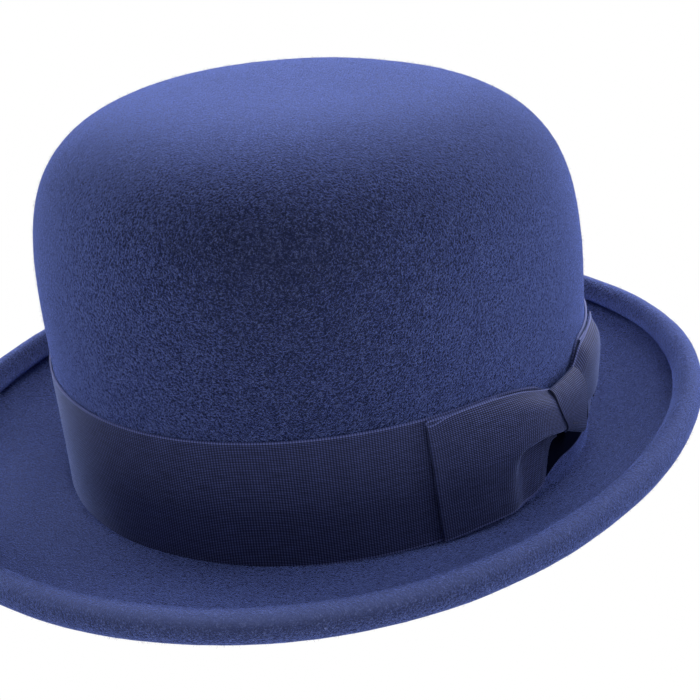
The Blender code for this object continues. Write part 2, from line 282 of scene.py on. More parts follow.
def grid_normals(grid, wraps):
    """Unit normals of a grid of points, from its own differences."""
    if wraps:
        along = np.roll(grid, -1, axis=1) - np.roll(grid, 1, axis=1)
    else:
        along = np.gradient(grid, axis=1)
    up = np.gradient(grid, axis=0)
    normal = np.cross(along, up)
    return normal / np.maximum(np.linalg.norm(normal, axis=-1, keepdims=True), 1e-12)


def strip(name, grid, thickness, uv, wraps=False):
    """Sheet of cloth with a rounded edge all round, centred on a grid of points (row, column)."""
    rows, columns = grid.shape[:2]
    normal = grid_normals(grid, wraps)
    front = grid + normal * thickness / 2
    back = grid - normal * thickness / 2
    points = np.concatenate([front.reshape(-1, 3), back.reshape(-1, 3)])
    count = rows * columns
    faces = grid_faces(rows, columns, wraps)
    faces += [tuple(count + v for v in reversed(face)) for face in grid_faces(rows, columns, wraps)]
    ring = range(columns if wraps else columns - 1)
    for c in ring:
        d = (c + 1) % columns
        faces.append((d, c, count + c, count + d))
        top = (rows - 1) * columns
        faces.append((top + c, top + d, count + top + d, count + top + c))
    if not wraps:
        for r in range(rows - 1):
            low, high = r * columns, (r + 1) * columns
            faces.append((low, high, count + high, count + low))
            end = columns - 1
            faces.append((high + end, low + end, count + low + end, count + high + end))
    uv = uv.reshape(-1, 2)
    return mesh_from(name, points, faces, np.concatenate([uv, uv]))


def dress(item, finish, slot, *nodes):
    """Give a piece its material, put it on the root body and hide the CAD parts it stands for."""
    item.data.materials.append(finish)
    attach(item, "root")
    if nodes:
        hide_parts(*nodes)
    return item


# ---- material helpers

def new_material(name):
    finish = bpy.data.materials.new(name)
    finish.use_nodes = True
    return finish, finish.node_tree, finish.node_tree.nodes["Principled BSDF"]


def node(tree, kind, **values):
    """New node, with its properties and unlinked inputs set by name."""
    made = tree.nodes.new("ShaderNode" + kind)
    for key, value in values.items():
        if hasattr(made, key):
            setattr(made, key, value)
        else:
            made.inputs[key.replace("_", " ").title()].default_value = value
    return made


def noise(tree, place, scale, detail=2.0, roughness=0.5, distortion=0.0):
    made = node(tree, "TexNoise", scale=scale, detail=detail, roughness=roughness, distortion=distortion)
    tree.links.new(place, made.inputs["Vector"])
    return made.outputs["Fac"]


def maths(tree, operation, *values):
    made = tree.nodes.new("ShaderNodeMath")
    made.operation = operation
    for socket, value in zip(made.inputs, values):
        if isinstance(value, (int, float)):
            socket.default_value = value
        else:
            tree.links.new(value, socket)
    return made.outputs[0]


def times(tree, first, second):
    return maths(tree, "MULTIPLY", first, second)


def plus(tree, first, second):
    return maths(tree, "ADD", first, second)


def remap(tree, value, from_low, from_high, to_low=0.0, to_high=1.0):
    made = tree.nodes.new("ShaderNodeMapRange")
    for name, number in (("From Min", from_low), ("From Max", from_high),
                         ("To Min", to_low), ("To Max", to_high)):
        made.inputs[name].default_value = number
    tree.links.new(value, made.inputs["Value"])
    return made.outputs["Result"]


def blend(tree, factor, first, second):
    """Mix of two colours. Each is a tuple or a socket."""
    made = tree.nodes.new("ShaderNodeMix")
    made.data_type = "RGBA"
    tree.links.new(factor, made.inputs["Factor"])
    for socket, colour in ((made.inputs[6], first), (made.inputs[7], second)):
        if isinstance(colour, tuple):
            socket.default_value = (*colour, 1.0)
        else:
            tree.links.new(colour, socket)
    return made.outputs[2]


def bump(tree, shader, height, distance, strength):
    made = tree.nodes.new("ShaderNodeBump")
    made.inputs["Distance"].default_value = distance
    made.inputs["Strength"].default_value = strength
    tree.links.new(height, made.inputs["Height"])
    tree.links.new(made.outputs["Normal"], shader.inputs["Normal"])


def place_of(tree):
    """Object coordinates in metres, fixed to the piece."""
    return tree.nodes.new("ShaderNodeTexCoord").outputs["Object"]


def cloth_axes(tree):
    """The cloth UV, and its distances along and across the cloth."""
    cloth = node(tree, "UVMap", uv_map="cloth").outputs["UV"]
    split = tree.nodes.new("ShaderNodeSeparateXYZ")
    tree.links.new(cloth, split.inputs["Vector"])
    return cloth, split.outputs["X"], split.outputs["Y"]


def stretched(tree, place, scale):
    made = tree.nodes.new("ShaderNodeMapping")
    made.inputs["Scale"].default_value = scale
    tree.links.new(place, made.inputs["Vector"])
    return made.outputs["Vector"]


# ---- felt

FELT_DARK = (0.0050, 0.0085, 0.036)
FELT_MID = (0.0150, 0.0240, 0.104)
FELT_LIGHT = (0.150, 0.195, 0.480)
FELT_FIBRE = (0.230, 0.290, 0.600)
FELT_SHEEN = (0.33, 0.47, 1.40)
PLAIN_TONE = 0.4        # felt with neither painted light nor painted shade
# painted highlight at the crown's pole
POLE_HIGHLIGHT_TONE = 0.95
CURL_SHADE_TONE = 0.25  # painted shade inside the curl
# painted highlight on the lip of the curl
LIP_HIGHLIGHT_TONE = 0.6
NAP_HAIRS = 30000
NAP_CHILDREN = 4        # rendered fibres for each hair
NAP_LENGTH = 0.22 * MM
NAP_THICKNESS = 0.028 * MM


def strands(tree, place, scale, seed):
    """Thin curling lines, broken into short lengths: 1 on a strand and 0 beside it."""
    moved = tree.nodes.new("ShaderNodeMapping")
    moved.inputs["Location"].default_value = (seed, seed * 0.7, seed * 1.3)
    tree.links.new(place, moved.inputs["Vector"])
    place = moved.outputs["Vector"]
    wander = noise(tree, place, scale, 1.0, 0.5, 1.5)
    line = remap(tree, maths(tree, "ABSOLUTE", maths(tree, "SUBTRACT", wander, 0.5)), 0.06, 0.01)
    lengths = remap(tree, noise(tree, place, scale * 1.7, 1.0), 0.42, 0.58)
    return times(tree, line, lengths)


def felt_material():
    finish, tree, shader = new_material("navy_felt")
    place = place_of(tree)
    patches = remap(tree, noise(tree, place, 70, 3.0, 0.55), 0.35, 0.65)
    tufts = remap(tree, noise(tree, place, 420, 3.0, 0.6, 0.6), 0.36, 0.64)
    fibres = maths(tree, "MAXIMUM", strands(tree, place, 650, 3.0), strands(tree, place, 1000, 7.0))
    grain = remap(tree, noise(tree, place, 1800, 1.0, 0.5, 0.8), 0.40, 0.60)
    coarse = times(tree, patches, 0.25)
    ground = plus(tree, coarse, times(tree, tufts, 0.50))
    # The tone attribute carries painted light and painted shade: above 0.4 it lightens the felt and adds
    # light fibres as painted light, below 0.4 it darkens the ground as painted shade.
    tone = tree.nodes.new("ShaderNodeAttribute")
    tone.attribute_name = "tone"
    painted_light = remap(tree, tone.outputs["Fac"], 0.4, 1.6, 0.0, 2.0)
    shade = remap(tree, tone.outputs["Fac"], 0.2, 0.4, 0.45, 1.0)
    ground = plus(tree, times(tree, ground, shade), times(tree, painted_light, 0.55))
    ground = plus(tree, times(tree, ground, 0.6), times(tree, grain, 0.30))
    colour = blend(tree, ground, FELT_DARK, FELT_MID)
    fibres = times(tree, fibres, remap(tree, grain, 0.0, 1.0, 0.25, 1.0))
    share = plus(tree, times(tree, painted_light, 0.25), 0.50)
    colour = blend(tree, times(tree, fibres, share), colour, FELT_FIBRE)
    colour = blend(tree, times(tree, painted_light, 0.30), colour, FELT_LIGHT)
    tree.links.new(colour, shader.inputs["Base Color"])
    shader.inputs["Roughness"].default_value = 0.95
    shader.inputs["Specular IOR Level"].default_value = 0.15
    shader.inputs["Sheen Weight"].default_value = 1.0
    shader.inputs["Sheen Roughness"].default_value = 0.23
    shader.inputs["Sheen Tint"].default_value = (*FELT_SHEEN, 1.0)
    height = plus(tree, times(tree, tufts, 0.3), plus(tree, fibres, grain))
    bump(tree, shader, height, 0.00026, 1.0)
    return finish


def nap_material():
    finish, tree, shader = new_material("navy_nap")
    shade = remap(tree, noise(tree, place_of(tree), 900, 1.0), 0.35, 0.65)
    tree.links.new(blend(tree, shade, FELT_MID, FELT_LIGHT), shader.inputs["Base Color"])
    shader.inputs["Roughness"].default_value = 0.7
    shader.inputs["Specular IOR Level"].default_value = 0.3
    return finish


def felt_rows():
    """Rows of the felt's face, from near the pole down the crown, over the brim and round the curl."""
    rows = [crown_face(FELT_ANGLES, s) for s in CROWN_STATIONS]
    rows += [crown_face(FELT_ANGLES, s) for s in WALL_STATIONS]
    rows += [break_face(FELT_ANGLES, t) for t in BREAK_TURNS]
    rows += [brim_face(FELT_ANGLES, r) for r in BRIM_REACHES]
    rows += [curl_face(FELT_ANGLES, t) for t in CURL_TURNS]
    return np.array(rows)


def crown_painted_highlight(angle, station):
    """Painted highlight over the crown's top: the felt is coloured lighter there, reaching further down
    towards the back.
    """
    back = smooth(1.0, 1.4, station) * (1.0 - smooth(1.8, 1.985, station))
    shifted = station - 0.14 * back * np.cos(angle + radians(50.0))
    return curve_through(shifted, [(1.0, 0.40), (1.42, 0.38), (1.52, 0.48), (1.66, 0.82), (1.985, 0.95)])


def brim_painted_light(angle, reach):
    """Painted light on the brim: a lighter patch in front of the right temple, fading out towards the curl,
    and a slight one under the bow.
    """
    degrees = degrees_round(angle)
    temple = 0.55 * np.exp(-((degrees + 118.0) / 24.0) ** 2) * (1.0 - smooth(0.45, 0.85, reach))
    bow_side = 0.14 * np.exp(-((degrees + 22.0) / 12.0) ** 2)
    return PLAIN_TONE + temple + bow_side


def curl_painted_light(turn):
    """Painted light round the curl: a painted highlight over its top, painted shade on its inner slope, and
    lighter again towards its lip.
    """
    return curve_through(np.degrees(turn), [
        (-90.0, 0.4), (-10.0, 0.5), (25.0, 0.62), (55.0, 1.0), (88.0, 0.95), (112.0, 0.30), (165.0, 0.22),
        (180.0, 0.60), (200.0, 0.60)])


def curl_light_strength(angle):
    """How strongly the painted light and shade round the curl show: most at the front, least beside the
    bow.
    """
    degrees = degrees_round(angle)
    front = 0.9 * np.exp(-((degrees + 58.0) / 26.0) ** 2)
    beside_bow = 0.4 * np.exp(-((degrees - 16.0) / 30.0) ** 2)
    return 1.0 + front - beside_bow


def felt_tone(rows, face_rows):
    """Tone of every point of the felt, which holds its painted light and painted shade, row by row from the
    crown's top, then the two poles.
    """
    tone = np.full((rows, SEGMENTS), PLAIN_TONE)
    tone[:len(CROWN_STATIONS)] = crown_painted_highlight(FELT_ANGLES, CROWN_STATIONS[:, None])
    face_curl = face_rows - len(CURL_TURNS)
    tone[CROWN_ROWS + len(BREAK_TURNS):face_curl] = brim_painted_light(FELT_ANGLES, BRIM_REACHES[:, None])
    tone[face_curl:face_rows] = CURL_SHADE_TONE
    back_curl = face_rows + LIP_ROWS
    tone[face_rows:back_curl] = LIP_HIGHLIGHT_TONE
    painted_curl_light = (curl_painted_light(CURL_TURNS[::-1])[:, None] - PLAIN_TONE) * curl_light_strength(FELT_ANGLES)
    tone[back_curl:back_curl + len(CURL_TURNS)] = PLAIN_TONE + painted_curl_light
    return np.concatenate([tone.ravel(), [POLE_HIGHLIGHT_TONE, PLAIN_TONE]]).astype(np.float32)


def make_felt():
    """The whole felt body as one closed skin: face, lip, back and both poles."""
    face = felt_rows()
    normal = grid_normals(face, True)
    if np.mean(normal[5, :, 2]) < 0:
        normal = -normal
    back = face - normal * FELT
    middle, across = (face[-1] + back[-1]) / 2, (face[-1] - back[-1]) / 2
    onward = face[-1] - face[-2]
    onward = onward / np.linalg.norm(onward, axis=-1, keepdims=True) * FELT / 2
    lip = [middle + across * cos(t) + onward * sin(t) for t in np.linspace(0.15, 0.85, LIP_ROWS) * pi]
    inside = back[:CROWN_ROWS][::4][::-1]
    grid = np.concatenate([face, np.array(lip), back[CROWN_ROWS:][::-1], inside])
    rows, columns = grid.shape[:2]
    top = [0.0, -CROWN_LEAN * CROWN_HEIGHT, CROWN_HEIGHT]
    under = [0.0, -CROWN_LEAN * CROWN_HEIGHT, CROWN_HEIGHT - FELT]
    points = np.concatenate([grid.reshape(-1, 3), [top, under]])
    faces = [tuple(reversed(f)) for f in grid_faces(rows, columns, True)]
    last, pole, foot = (rows - 1) * columns, rows * columns, rows * columns + 1
    for c in range(columns):
        d = (c + 1) % columns
        faces.append((c, d, pole))
        faces.append((last + d, last + c, foot))
    item = mesh_from("felt_shell", points, faces, smooth_angle=70)
    tone = felt_tone(rows, len(face))
    item.data.attributes.new("tone", "FLOAT", "POINT").data.foreach_set("value", tone)
    ripple(item, "waves", 0.030, 0.0005)
    ripple(item, "tufts", 0.0040, 0.00012)
    group_nap(item, len(face))
    return item


def ripple(item, name, scale, strength):
    """Uneven surface of felt, as real relief."""
    texture = bpy.data.textures.new(name, "CLOUDS")
    texture.noise_scale = scale
    texture.noise_depth = 2
    relief = item.modifiers.new(name, "DISPLACE")
    relief.texture = texture
    relief.strength = strength
    relief.mid_level = 0.5
    relief.texture_coords = "GLOBAL"


def group_nap(item, face_rows):
    """Vertex group of where the nap grows: all the felt that isn't covered."""
    nap = item.vertex_groups.new(name="nap")
    covered = BAND_HIGH.z - 1.0 * MM
    places = np.empty(len(item.data.vertices) * 3)
    item.data.vertices.foreach_get("co", places)
    heights = places[2::3]
    crown = [i for i in range(CROWN_ROWS * SEGMENTS) if heights[i] > covered]
    shown_back = face_rows + LIP_ROWS + (face_rows - CROWN_ROWS)
    rest = list(range((CROWN_ROWS + 2) * SEGMENTS, shown_back * SEGMENTS))
    pole = [len(heights) - 2]
    nap.add(crown + rest + pole, 1.0, "REPLACE")


def grow_nap(item):
    """Short wool fibres that stand and lie on the felt."""
    item.modifiers.new("nap", "PARTICLE_SYSTEM")
    system = item.particle_systems[-1]
    system.seed = 3
    system.vertex_group_density = "nap"
    hair = system.settings
    hair.type = "HAIR"
    hair.count = NAP_HAIRS
    hair.hair_step = 3
    hair.use_advanced_hair = True
    hair.emit_from = "FACE"
    hair.distribution = "RAND"
    hair.use_even_distribution = True
    hair.hair_length = NAP_LENGTH
    hair.normal_factor = 0.09 * MM
    hair.factor_random = 0.20 * MM
    hair.brownian_factor = 0.0
    hair.length_random = 0.6
    hair.render_type = "PATH"
    hair.render_step = 2
    hair.display_step = 2
    hair.root_radius = 1.0
    hair.tip_radius = 0.3
    hair.radius_scale = NAP_THICKNESS
    hair.child_type = "SIMPLE"
    hair.rendered_child_count = NAP_CHILDREN
    hair.child_radius = 1.5 * MM
    hair.roughness_endpoint = 0.0
    hair.roughness_2 = 0.0
    hair.material = 2


# ---- ribbon

RIBBON_DARK = (0.0015, 0.0022, 0.0080)
RIBBON_LIGHT = (0.112, 0.142, 0.400)
RIBBON_EDGE = (0.13, 0.16, 0.42)
# near-black ribbon colour: painted shade for the ribbon in the hollow under the knot
RIBBON_PAINTED_SHADE = (0.0040, 0.0055, 0.0180)
RIBBON_WIDTH = 45.5 * MM


def grosgrain_material(name, light, sheen, gloss):
    """Ribs across the ribbon, each a row of small warp beads. The cloth UV is in metres."""
    finish, tree, shader = new_material(name)
    cloth, along, across = cloth_axes(tree)
    turns = times(tree, along, 2 * pi / RIB_PITCH)
    rib = remap(tree, maths(tree, "COSINE", turns), -1.0, 1.0)
    weft_turns = times(tree, across, 2 * pi / WEFT_PITCH)
    bead = remap(tree, maths(tree, "COSINE", weft_turns), -1.0, 1.0, 0.05, 1.0)
    thread = times(tree, plus(tree, times(tree, rib, 0.75), 0.25), bead)
    slub = noise(tree, stretched(tree, cloth, (160.0, 1400.0, 1.0)), 1.0, 2.0)
    slub = remap(tree, slub, 0.3, 0.7, 0.6, 1.0)
    tone = times(tree, thread, slub)
    from_middle = maths(tree, "ABSOLUTE", maths(tree, "SUBTRACT", across, RIBBON_WIDTH / 2))
    edge = remap(tree, from_middle, RIBBON_WIDTH / 2 - 0.75 * MM, RIBBON_WIDTH / 2 - 0.45 * MM)
    colour = blend(tree, tone, RIBBON_DARK, light)
    picot = times(tree, edge, remap(tree, rib, 0.1, 0.8, 0.15, 0.8))
    tree.links.new(blend(tree, picot, colour, RIBBON_EDGE), shader.inputs["Base Color"])
    shader.inputs["Roughness"].default_value = 0.60
    shader.inputs["Specular IOR Level"].default_value = gloss
    shader.inputs["Sheen Weight"].default_value = sheen
    shader.inputs["Sheen Roughness"].default_value = 0.17
    shader.inputs["Sheen Tint"].default_value = (0.36, 0.47, 1.0, 1.0)
    bump(tree, shader, thread, 0.00016, 0.9)
    return finish


def degrees_round(angle):
    """Degrees from the wearer's left, between -180 and 180."""
    return (np.degrees(angle) + 180.0) % 360.0 - 180.0


def band_top(angle):
    """Height of the hatband's upper edge, which the knot draws down."""
    drawn_down = curve_through(degrees_round(angle), [
        (-16.0, 0.0), (-5.0, 1.9), (0.0, 4.2), (5.0, 8.8), (10.0, 9.2), (15.0, 8.2), (18.0, 2.2),
        (23.0, 0.0)])
    return BAND_HIGH.z + (np.cos(2 * angle) + np.sin(angle) - drawn_down) * MM


def band_foot(angle):
    """Height of the hatband's lower edge, which the bow's stitching draws up near the knot."""
    drawn_up = curve_through(degrees_round(angle), [
        (-10.0, 0.0), (-1.0, 2.4), (1.8, 5.0), (4.4, 7.0), (7.0, 8.1), (12.0, 8.0), (17.0, 8.2),
        (22.0, 9.4), (33.0, 10.0), (62.0, 0.0)])
    return (0.8 + np.cos(2 * angle) + np.sin(angle) + drawn_up) * MM


def make_hatband(finish):
    join, gap = radians(7.5), 0.004
    angles = np.linspace(join + gap, join + 2 * pi - gap, 1440)
    shares = np.linspace(0.0, 1.0, 16)
    rows = []
    for share in shares:
        height = band_foot(angles) + (band_top(angles) - band_foot(angles)) * share
        flare = 0.5 * MM * (1 - share) ** 3
        rows.append(wall_point(angles, height, np.full_like(angles, GAP + RIBBON / 2 + flare)))
    grid = np.array(rows)
    uv = cloth_uv(arc_length(middle_row(grid)), shares * RIBBON_WIDTH)
    return dress(strip("band_ribbon", grid, RIBBON, uv), finish, "navy_grosgrain", "hatband")


def make_bow_base(finish):
    """Flat ribbon over the hatband's join, behind the bow and in the hollow under the knot, coloured near
    black as painted shade.
    """
    angles = np.radians(np.linspace(-1.0, 25.0, 60))
    shares = np.linspace(0.0, 1.0, 12)
    foot, top = band_foot(angles) + 0.5 * MM, band_top(angles) - 1.5 * MM
    grid = np.array([wall_point(angles, foot + (top - foot) * share,
                                np.full_like(angles, (1.35 + 0.3 * (1 - share) ** 3) * MM))
                     for share in shares])
    uv = cloth_uv(arc_length(middle_row(grid)), shares * RIBBON_WIDTH)
    return dress(strip("bow_backing", grid, BOW_RIBBON, uv), finish, "navy_grosgrain", "bow_base")


# Each wing has a section at every angle, in millimetres: (height, offset) from its upper edge, over
# its face, into the pleat behind the crease and down to its lower edge.

def front_section(d):
    top = curve_through(d, [
        (-26.0, 44.6), (-22.0, 46.4), (-15.0, 47.1), (-5.0, 45.0), (2.0, 41.2), (6.0, 39.6)])
    foot = curve_through(d, [
        (-26.0, 1.2), (-16.0, 3.0), (-8.0, 3.8), (-1.0, 5.0), (1.0, 7.2), (2.6, 17.0), (5.0, 20.5)])
    face = curve_through(d, [(-26.0, 2.9), (-14.0, 5.0), (-2.0, 7.3), (4.0, 6.9)])
    low = curve_through(d, [(-26.0, 2.5), (-14.0, 3.9), (-9.6, 4.1), (-6.4, 2.5), (-3.0, 1.9)])
    crease = curve_through(d, [(-10.0, 25.2), (-2.0, 26.8), (5.0, 24.4)])
    pleat = smooth(-8.9, -6.6, d)
    return wing_section(top, face, crease, pleat, low, foot)


def rear_section(d):
    top = curve_through(d, [
        (9.0, 39.8), (12.0, 40.4), (14.6, 41.9), (17.9, 45.9), (22.0, 47.4), (34.0, 47.6)])
    foot = curve_through(d, [(9.0, 19.0), (20.0, 20.5), (34.0, 18.0)])
    face = curve_through(d, [(9.0, 5.2), (13.0, 5.0), (19.0, 5.9), (26.0, 5.9), (30.0, 5.4), (34.0, 3.0)])
    low = curve_through(d, [(9.0, 1.95), (28.0, 1.95), (34.0, 2.6)])
    crease = curve_through(d, [(9.0, 24.4), (20.0, 23.4), (34.0, 22.4)])
    pleat = 1.0 - smooth(29.0, 33.5, d)
    return wing_section(top, face, crease, pleat, low, foot, tuck=1.5)


def wing_section(top, face, crease, pleat, low, foot, tuck=0.0):
    """Pleat is 0 where the ribbon is flat and 1 where it folds up. Tuck draws the crease in."""
    flat = 1 - pleat
    corners = [(top, 1.9), (top - 3.2, face - 0.6), (top - 9.0, face), (crease + 3.0, face - 0.7 * tuck),
               (crease, face - tuck - 0.1),
               (crease + 4.8 * pleat - 4.0 * flat, (face + low) / 2 * flat + (low + 0.8) * pleat),
               (crease + 1.6 * pleat - 9.0 * flat, low), (foot, low)]
    path = rounded_path(corners, 2.6, 4 * WING_ROWS)
    at_crease = np.argmin(np.linalg.norm(path - corners[4], axis=1))
    picked = np.concatenate([np.linspace(0, at_crease, FACE_ROWS, endpoint=False),
                             np.linspace(at_crease, len(path) - 1, WING_ROWS - FACE_ROWS)])
    return path[np.round(picked).astype(int)]


def make_wing(name, finish, section, inner, end, behind_heights, node_name):
    """One side of the bow: outer layer, round fold at the end, and the layer behind it."""
    high, low = behind_heights
    side = 1.0 if end > inner else -1.0
    outer = [(d, section(d)) for d in np.linspace(inner, end, 84)]
    flat = np.linspace(0.0, 1.0, WING_ROWS)[:, None]
    last = outer[-1][1]
    behind_end = np.concatenate([high - (high - low) * flat, np.full_like(flat, 1.75)], axis=1)
    columns = list(outer)
    for turn in np.linspace(0.0, pi, 11)[1:-1]:
        share = (1 - cos(turn)) / 2
        bulge = 0.45 * sin(turn)
        columns.append((end + side * bulge, last * (1 - share) + behind_end * share))
    for d in np.linspace(end, end - side * 15.0, 12):
        lift = np.concatenate([np.full_like(flat, 0.07 * abs(d - end)), np.zeros_like(flat)], axis=1)
        columns.append((d, behind_end + lift))
    grid = np.stack([wall_point(np.radians(d - side * WING_SLANT * (1 - path[:, 0] / 46.0)
                                           * (d - inner) / (end - inner)), path[:, 0] * MM, path[:, 1] * MM)
                     for d, path in columns], axis=1)
    if side < 0:
        grid = grid[:, ::-1]
    length = arc_length(grid[WING_ROWS // 4])
    shares = np.linspace(1.0, 0.0, WING_ROWS)
    uv = cloth_uv(length, shares * RIBBON_WIDTH)
    return dress(strip(name, grid[::-1], BOW_RIBBON, uv[::-1]), finish, "navy_grosgrain", node_name)


def make_knot(finish):
    """Strap wrapped round the waist of the bow, with its ribs running round the hat."""
    shares = np.linspace(0.0, 1.0, 36)
    rows = []
    for share in shares:
        top, belly = 40.6 + 1.8 * share, 7.4 + 1.1 * share + 0.3 * sin(pi * share)
        foot = 25.2 - 5.2 * share
        corners = [(33.0, 2.3), (top, 2.3), (top + 0.3, 4.4), (top - 3.4, belly - 0.5), (30.0, belly + 0.2),
                   (foot, belly), (foot - 0.8, 5.5), (foot - 0.4, 2.3), (33.0, 2.3)]
        loop = rounded_path(corners, 2.6, 97)[:-1]
        rise = np.clip((loop[:, 0] - foot) / (top - foot), 0.0, 1.0)
        left = curve_through(rise, [(0.0, KNOT_LEFT_FOOT), (0.4, 3.7), (0.75, 2.6), (1.0, KNOT_LEFT_TOP)])
        right = KNOT_RIGHT_FOOT + (KNOT_RIGHT_TOP - KNOT_RIGHT_FOOT) * rise
        degrees = left + (right - left) * share
        rows.append(wall_point(np.radians(degrees), loop[:, 0] * MM, loop[:, 1] * MM))
    grid = np.array(rows)
    uv = cloth_uv(1.5 * arc_length(middle_row(grid)), 8.0 * MM + shares * 14.0 * MM)
    item = strip("knot_strap", grid[:, ::-1], BOW_RIBBON, uv[:, ::-1], wraps=True)
    return dress(item, finish, "navy_grosgrain", "bow_knot")


def make_tacks(thread):
    """Hand stitches that draw the knot's foot in."""
    places = []
    offset = 8.45 * MM
    for degrees, height in ((6.4, 27.0), (7.4, 26.2), (8.4, 25.5)):
        angle = np.radians(np.array(degrees))
        here = wall_point(angle, height * MM, offset)
        ahead = wall_point(angle + 0.01, (height - 0.35) * MM, offset)
        places.append((here, (ahead - here) / np.linalg.norm(ahead - here), plan_normal(angle)))
    stitches("bow_tacks", thread, "navy_grosgrain", places, 1.8 * MM, 0.16 * MM)


def make_bow(finish, painted_shade_finish, thread):
    make_bow_base(painted_shade_finish)
    make_tacks(thread)
    make_wing("front_wing", finish, front_section, 6.0, FRONT_END, (46.4, 1.2), "bow_front_wing")
    make_wing("rear_wing", finish, rear_section, 9.6, REAR_END, (46.8, 18.4), "bow_rear_wing")
    make_knot(finish)


# ---- inside the crown

SWEAT_CLOTH_DARK = (0.011, 0.014, 0.038)
SWEAT_CLOTH_LIGHT = (0.065, 0.080, 0.185)
SATIN_DARK = (0.012, 0.018, 0.066)
SATIN_LIGHT = (0.058, 0.078, 0.230)
THREAD_COLOUR = (0.030, 0.038, 0.110)
LABEL_DARK = (0.55, 0.52, 0.44)
LABEL_LIGHT = (0.74, 0.71, 0.62)
REED_DARK = (0.50, 0.50, 0.46)
REED_LIGHT = (0.66, 0.66, 0.61)
LINING = 0.3 * MM
LINING_DEPTH = FELT + 0.5 * MM
SWEAT_THICKNESS = 0.8 * MM
SWEAT_MIDDLE = FELT + 1.5 * MM
TAPE_THICKNESS = 0.3 * MM
TAPE_RISE = TAPE_HIGH.z
TAPE_HIGH_OUTSIDE = 3.0 * MM
REED_HEIGHT = (REED_LOW.z + REED_HIGH.z) / 2
REED_RADIUS = (REED_HIGH.z - REED_LOW.z) / 2
SEAM_STATION = 1.55
STITCH_PITCH = 3.0 * MM
JOIN_GAP = 0.4          # degrees each side of the sweatband's join at the back


def woven_material(name, dark, light, pitch, roughness, sheen):
    """Plain weave in a cloth UV given in metres: threads over and under each other."""
    finish, tree, shader = new_material(name)
    cloth, along, across = cloth_axes(tree)
    over = maths(tree, "SINE", times(tree, along, 2 * pi / pitch))
    under = maths(tree, "SINE", times(tree, across, 2 * pi / pitch))
    weave = remap(tree, times(tree, over, under), -1.0, 1.0)
    slub = noise(tree, stretched(tree, cloth, (1200.0, 90.0, 1.0)), 1.0, 2.0)
    slub = remap(tree, slub, 0.3, 0.7, 0.5, 1.0)
    tone = times(tree, weave, slub)
    tree.links.new(blend(tree, tone, dark, light), shader.inputs["Base Color"])
    shader.inputs["Roughness"].default_value = roughness
    shader.inputs["Specular IOR Level"].default_value = 0.3
    shader.inputs["Sheen Weight"].default_value = sheen
    shader.inputs["Sheen Roughness"].default_value = 0.35
    bump(tree, shader, weave, 0.0001, 0.7)
    return finish


def satin_material():
    """Long floating threads give satin its streaks and soft gloss."""
    finish, tree, shader = new_material("navy_satin")
    cloth = node(tree, "UVMap", uv_map="cloth").outputs["UV"]
    threads = noise(tree, stretched(tree, cloth, (5200.0, 260.0, 1.0)), 1.0, 2.0, 0.6)
    folds = noise(tree, stretched(tree, cloth, (120.0, 30.0, 1.0)), 1.0, 2.0)
    tone = plus(tree, times(tree, threads, 0.6), times(tree, folds, 0.4))
    tone = remap(tree, tone, 0.35, 0.65)
    tree.links.new(blend(tree, tone, SATIN_DARK, SATIN_LIGHT), shader.inputs["Base Color"])
    tree.links.new(remap(tree, threads, 0.3, 0.7, 0.26, 0.42), shader.inputs["Roughness"])
    shader.inputs["Specular IOR Level"].default_value = 0.55
    shader.inputs["Anisotropic"].default_value = 0.5
    bump(tree, shader, threads, 0.00005, 0.6)
    return finish


def thread_material():
    finish, tree, shader = new_material("sewing_thread")
    twist = tree.nodes.new("ShaderNodeTexWave")
    twist.inputs["Scale"].default_value = 900.0
    twist.inputs["Distortion"].default_value = 1.0
    tree.links.new(place_of(tree), twist.inputs["Vector"])
    dark = tuple(0.5 * c for c in THREAD_COLOUR)
    tree.links.new(blend(tree, twist.outputs["Fac"], dark, THREAD_COLOUR), shader.inputs["Base Color"])
    shader.inputs["Roughness"].default_value = 0.5
    bump(tree, shader, twist.outputs["Fac"], 0.00006, 0.8)
    return finish


def reed_material():
    """Milky plastic with faint drawn lines."""
    finish, tree, shader = new_material("reed_plastic")
    cloud = remap(tree, noise(tree, place_of(tree), 260, 3.0), 0.35, 0.65)
    tree.links.new(blend(tree, cloud, REED_DARK, REED_LIGHT), shader.inputs["Base Color"])
    tree.links.new(remap(tree, cloud, 0.0, 1.0, 0.34, 0.46), shader.inputs["Roughness"])
    bump(tree, shader, noise(tree, place_of(tree), 2600, 2.0), 0.00003, 0.5)
    return finish


def sweatband_depth(angle, height):
    """From the crown's face to the middle of the cloth, a little uneven above its seam."""
    share = (height - SWEAT_LOW.z) / (SWEAT_HIGH.z - SWEAT_LOW.z)
    waves = 0.30 * np.sin(9 * angle + 1.0) + 0.18 * np.sin(17 * angle)
    return SWEAT_MIDDLE + waves * MM * share ** 2 + 0.35 * MM * share ** 4


def make_sweatband(finish):
    """Cloth band that touches the head, its ends meeting at the back."""
    angles = np.radians(np.linspace(90.0 + JOIN_GAP, 450.0 - JOIN_GAP, CLOTH_SEGMENTS))
    heights = np.linspace(SWEAT_LOW.z, SWEAT_HIGH.z, 22)
    grid = np.array([wall_point(angles, np.full_like(angles, height), -sweatband_depth(angles, height))
                     for height in heights])
    rise = arc_length(grid[:, 0])
    uv = cloth_uv(arc_length(middle_row(grid)), rise)
    item = strip("sweat_cloth", grid, SWEAT_THICKNESS, uv)
    dress(item, finish, "sweatband_cloth", "sweatband")


